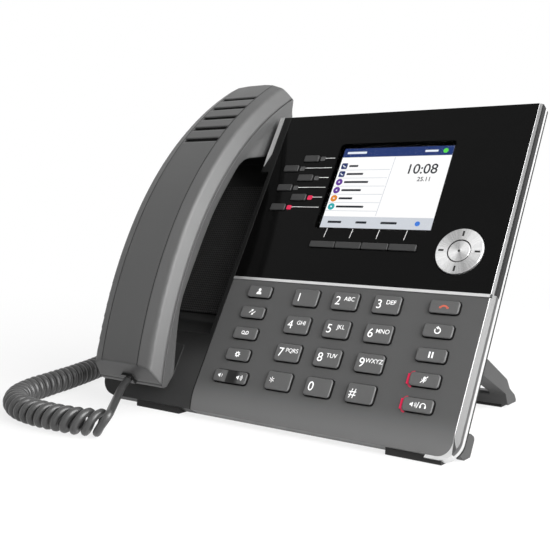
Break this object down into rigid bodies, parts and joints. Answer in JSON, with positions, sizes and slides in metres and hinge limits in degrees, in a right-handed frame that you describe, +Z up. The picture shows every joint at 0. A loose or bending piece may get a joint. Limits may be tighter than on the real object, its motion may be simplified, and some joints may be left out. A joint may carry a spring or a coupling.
{
  "type": "desk ip phone",
  "caption": "Office desk telephone with corded handset in a left cradle, colour screen, line, soft and dial keys, navigation disc and plug-in stand.",
  "frame": {"origin": "middle of the footprint on the desk, without the cord", "axes": "+X to the phone's right as its user sees it, +Y to its back, +Z up"},
  "size_m": [0.2979, 0.209, 0.1941],
  "materials": {
    "grey_shell": "fine moulded grain, satin",
    "grey_key": "satin keycap plastic",
    "black_fascia": "polished near-black",
    "silver_trim": "satin silver plating",
    "screen_window": "clear, polished",
    "screen_panel": "lit colour screen",
    "lamp_red": "clear red lens",
    "black_rubber": "matt",
    "mat_rubber": "matt silicone",
    "circuit_board": "solder resist",
    "black_mesh": "fine mesh",
    "black_part": "moulded black",
    "silver_disc": "spun satin",
    "steel_screw": "zinc plated",
    "clear_plug": "clear moulded plug",
    "cord_jacket": "satin cord jacket"
  },
  "bodies": {
    "base": {"front_housing": "grey_shell", "display_fascia": "black_fascia", "display_window": "screen_window", "lcd_module": "screen_panel", "silver_trim": "silver_trim", "lamp_lenses": "lamp_red", "key_mat": "mat_rubber", "main_board": "circuit_board", "loudspeaker": "black_part", "cradle_housing": "grey_shell", "speaker_grille": "black_mesh", "rear_housing": "grey_shell", "housing_screws": "steel_screw", "modular_jacks": "black_part", "front_feet": "black_rubber", "base_plug": "clear_plug", "handset_cord": "cord_jacket"},
    "handset": {"handset_outer_shell": "grey_shell", "handset_inner_shell": "grey_shell", "handset_receiver": "black_part", "handset_microphone": "black_part", "handset_plug": "clear_plug"},
    "hook_switch": {"hook_switch": "black_part"},
    "stand": {"stand_frame": "grey_shell", "stand_pads": "black_rubber"},
    "volume_rocker": {"volume_rocker": "grey_key"},
    "nav_gimbal": {"nav_gimbal": "black_part"},
    "nav_ring": {"nav_ring": "silver_disc"},
    "select_button": {"select_button": "silver_disc"},
    "key_1": {"key_1": "grey_key"},
    "key_2": {"key_2": "grey_key"},
    "key_3": {"key_3": "grey_key"},
    "key_4": {"key_4": "grey_key"},
    "key_5": {"key_5": "grey_key"},
    "key_6": {"key_6": "grey_key"},
    "key_7": {"key_7": "grey_key"},
    "key_8": {"key_8": "grey_key"},
    "key_9": {"key_9": "grey_key"},
    "key_star": {"key_star": "grey_key"},
    "key_0": {"key_0": "grey_key"},
    "key_hash": {"key_hash": "grey_key"},
    "contacts_key": {"contacts_key": "grey_key"},
    "call_list_key": {"call_list_key": "grey_key"},
    "voicemail_key": {"voicemail_key": "grey_key"},
    "settings_key": {"settings_key": "grey_key"},
    "end_call_key": {"end_call_key": "grey_key"},
    "redial_key": {"redial_key": "grey_key"},
    "hold_key": {"hold_key": "grey_key"},
    "mute_key": {"mute_key": "grey_key"},
    "speaker_key": {"speaker_key": "grey_key"},
    "line_key_1": {"line_key_1": "grey_key"},
    "line_key_2": {"line_key_2": "grey_key"},
    "line_key_3": {"line_key_3": "grey_key"},
    "line_key_4": {"line_key_4": "grey_key"},
    "line_key_5": {"line_key_5": "grey_key"},
    "line_key_6": {"line_key_6": "grey_key"},
    "soft_key_1": {"soft_key_1": "grey_key"},
    "soft_key_2": {"soft_key_2": "grey_key"},
    "soft_key_3": {"soft_key_3": "grey_key"},
    "soft_key_4": {"soft_key_4": "grey_key"}
  },
  "joints": [
    {"name": "handset_lift", "type": "slide", "parent": "base", "child": "handset", "axis": [0, -0.8572, 0.515], "range_m": [0, 0.06], "deforming": ["handset_cord"]},
    {"name": "hook_switch_rise", "type": "slide", "parent": "base", "child": "hook_switch", "axis": [0, -0.8572, 0.515], "range_m": [0, 0.004]},
    {"name": "stand_release", "type": "slide", "parent": "base", "child": "stand", "axis": [0, 0.8572, -0.515], "range_m": [0, 0.014]},
    {"name": "volume_rocker_tilt", "type": "hinge", "parent": "base", "child": "volume_rocker", "pos_m": [-0.0225, -0.04621, 0.02185], "axis": [0, 0.515, 0.8572], "range_deg": [-3.5, 3.5], "stiffness_Nm_per_rad": 0.04},
    {"name": "nav_tilt_sideways", "type": "hinge", "parent": "base", "child": "nav_gimbal", "pos_m": [0.0915, -0.00298, 0.09283], "axis": [0, 0.515, 0.8572], "range_deg": [-3, 3], "stiffness_Nm_per_rad": 0.04},
    {"name": "nav_tilt_upright", "type": "hinge", "parent": "nav_gimbal", "child": "nav_ring", "pos_m": [0.0915, -0.00298, 0.09283], "axis": [1, 0, 0], "range_deg": [-3, 3], "stiffness_Nm_per_rad": 0.04},
    {"name": "select_press", "type": "slide", "parent": "base", "child": "select_button", "axis": [0, 0.8572, -0.515], "range_m": [0, 0.0008], "stiffness_N_per_m": 600},
    {"name": "key_1_press", "type": "slide", "parent": "base", "child": "key_1", "axis": [0, 0.8572, -0.515], "range_m": [0, 0.0012], "stiffness_N_per_m": 500},
    {"name": "key_2_press", "type": "slide", "parent": "base", "child": "key_2", "axis": [0, 0.8572, -0.515], "range_m": [0, 0.0012], "stiffness_N_per_m": 500},
    {"name": "key_3_press", "type": "slide", "parent": "base", "child": "key_3", "axis": [0, 0.8572, -0.515], "range_m": [0, 0.0012], "stiffness_N_per_m": 500},
    {"name": "key_4_press", "type": "slide", "parent": "base", "child": "key_4", "axis": [0, 0.8572, -0.515], "range_m": [0, 0.0012], "stiffness_N_per_m": 500},
    {"name": "key_5_press", "type": "slide", "parent": "base", "child": "key_5", "axis": [0, 0.8572, -0.515], "range_m": [0, 0.0012], "stiffness_N_per_m": 500},
    {"name": "key_6_press", "type": "slide", "parent": "base", "child": "key_6", "axis": [0, 0.8572, -0.515], "range_m": [0, 0.0012], "stiffness_N_per_m": 500},
    {"name": "key_7_press", "type": "slide", "parent": "base", "child": "key_7", "axis": [0, 0.8572, -0.515], "range_m": [0, 0.0012], "stiffness_N_per_m": 500},
    {"name": "key_8_press", "type": "slide", "parent": "base", "child": "key_8", "axis": [0, 0.8572, -0.515], "range_m": [0, 0.0012], "stiffness_N_per_m": 500},
    {"name": "key_9_press", "type": "slide", "parent": "base", "child": "key_9", "axis": [0, 0.8572, -0.515], "range_m": [0, 0.0012], "stiffness_N_per_m": 500},
    {"name": "key_star_press", "type": "slide", "parent": "base", "child": "key_star", "axis": [0, 0.8572, -0.515], "range_m": [0, 0.0012], "stiffness_N_per_m": 500},
    {"name": "key_0_press", "type": "slide", "parent": "base", "child": "key_0", "axis": [0, 0.8572, -0.515], "range_m": [0, 0.0012], "stiffness_N_per_m": 500},
    {"name": "key_hash_press", "type": "slide", "parent": "base", "child": "key_hash", "axis": [0, 0.8572, -0.515], "range_m": [0, 0.0012], "stiffness_N_per_m": 500},
    {"name": "contacts_key_press", "type": "slide", "parent": "base", "child": "contacts_key", "axis": [0, 0.8572, -0.515], "range_m": [0, 0.0012], "stiffness_N_per_m": 500},
    {"name": "call_list_key_press", "type": "slide", "parent": "base", "child": "call_list_key", "axis": [0, 0.8572, -0.515], "range_m": [0, 0.0012], "stiffness_N_per_m": 500},
    {"name": "voicemail_key_press", "type": "slide", "parent": "base", "child": "voicemail_key", "axis": [0, 0.8572, -0.515], "range_m": [0, 0.0012], "stiffness_N_per_m": 500},
    {"name": "settings_key_press", "type": "slide", "parent": "base", "child": "settings_key", "axis": [0, 0.8572, -0.515], "range_m": [0, 0.0012], "stiffness_N_per_m": 500},
    {"name": "end_call_key_press", "type": "slide", "parent": "base", "child": "end_call_key", "axis": [0, 0.8572, -0.515], "range_m": [0, 0.0012], "stiffness_N_per_m": 500},
    {"name": "redial_key_press", "type": "slide", "parent": "base", "child": "redial_key", "axis": [0, 0.8572, -0.515], "range_m": [0, 0.0012], "stiffness_N_per_m": 500},
    {"name": "hold_key_press", "type": "slide", "parent": "base", "child": "hold_key", "axis": [0, 0.8572, -0.515], "range_m": [0, 0.0012], "stiffness_N_per_m": 500},
    {"name": "mute_key_press", "type": "slide", "parent": "base", "child": "mute_key", "axis": [0, 0.8572, -0.515], "range_m": [0, 0.0012], "stiffness_N_per_m": 500},
    {"name": "speaker_key_press", "type": "slide", "parent": "base", "child": "speaker_key", "axis": [0, 0.8572, -0.515], "range_m": [0, 0.0012], "stiffness_N_per_m": 500},
    {"name": "line_key_1_press", "type": "slide", "parent": "base", "child": "line_key_1", "axis": [0, 0.8572, -0.515], "range_m": [0, 0.001], "stiffness_N_per_m": 500},
    {"name": "line_key_2_press", "type": "slide", "parent": "base", "child": "line_key_2", "axis": [0, 0.8572, -0.515], "range_m": [0, 0.001], "stiffness_N_per_m": 500},
    {"name": "line_key_3_press", "type": "slide", "parent": "base", "child": "line_key_3", "axis": [0, 0.8572, -0.515], "range_m": [0, 0.001], "stiffness_N_per_m": 500},
    {"name": "line_key_4_press", "type": "slide", "parent": "base", "child": "line_key_4", "axis": [0, 0.8572, -0.515], "range_m": [0, 0.001], "stiffness_N_per_m": 500},
    {"name": "line_key_5_press", "type": "slide", "parent": "base", "child": "line_key_5", "axis": [0, 0.8572, -0.515], "range_m": [0, 0.001], "stiffness_N_per_m": 500},
    {"name": "line_key_6_press", "type": "slide", "parent": "base", "child": "line_key_6", "axis": [0, 0.8572, -0.515], "range_m": [0, 0.001], "stiffness_N_per_m": 500},
    {"name": "soft_key_1_press", "type": "slide", "parent": "base", "child": "soft_key_1", "axis": [0, 0.8572, -0.515], "range_m": [0, 0.001], "stiffness_N_per_m": 500},
    {"name": "soft_key_2_press", "type": "slide", "parent": "base", "child": "soft_key_2", "axis": [0, 0.8572, -0.515], "range_m": [0, 0.001], "stiffness_N_per_m": 500},
    {"name": "soft_key_3_press", "type": "slide", "parent": "base", "child": "soft_key_3", "axis": [0, 0.8572, -0.515], "range_m": [0, 0.001], "stiffness_N_per_m": 500},
    {"name": "soft_key_4_press", "type": "slide", "parent": "base", "child": "soft_key_4", "axis": [0, 0.8572, -0.515], "range_m": [0, 0.001], "stiffness_N_per_m": 500}
  ],
  "couplings": [
    {"joint": "hook_switch_rise", "follows": "handset_lift", "ratio": 0.066667}
  ]
}
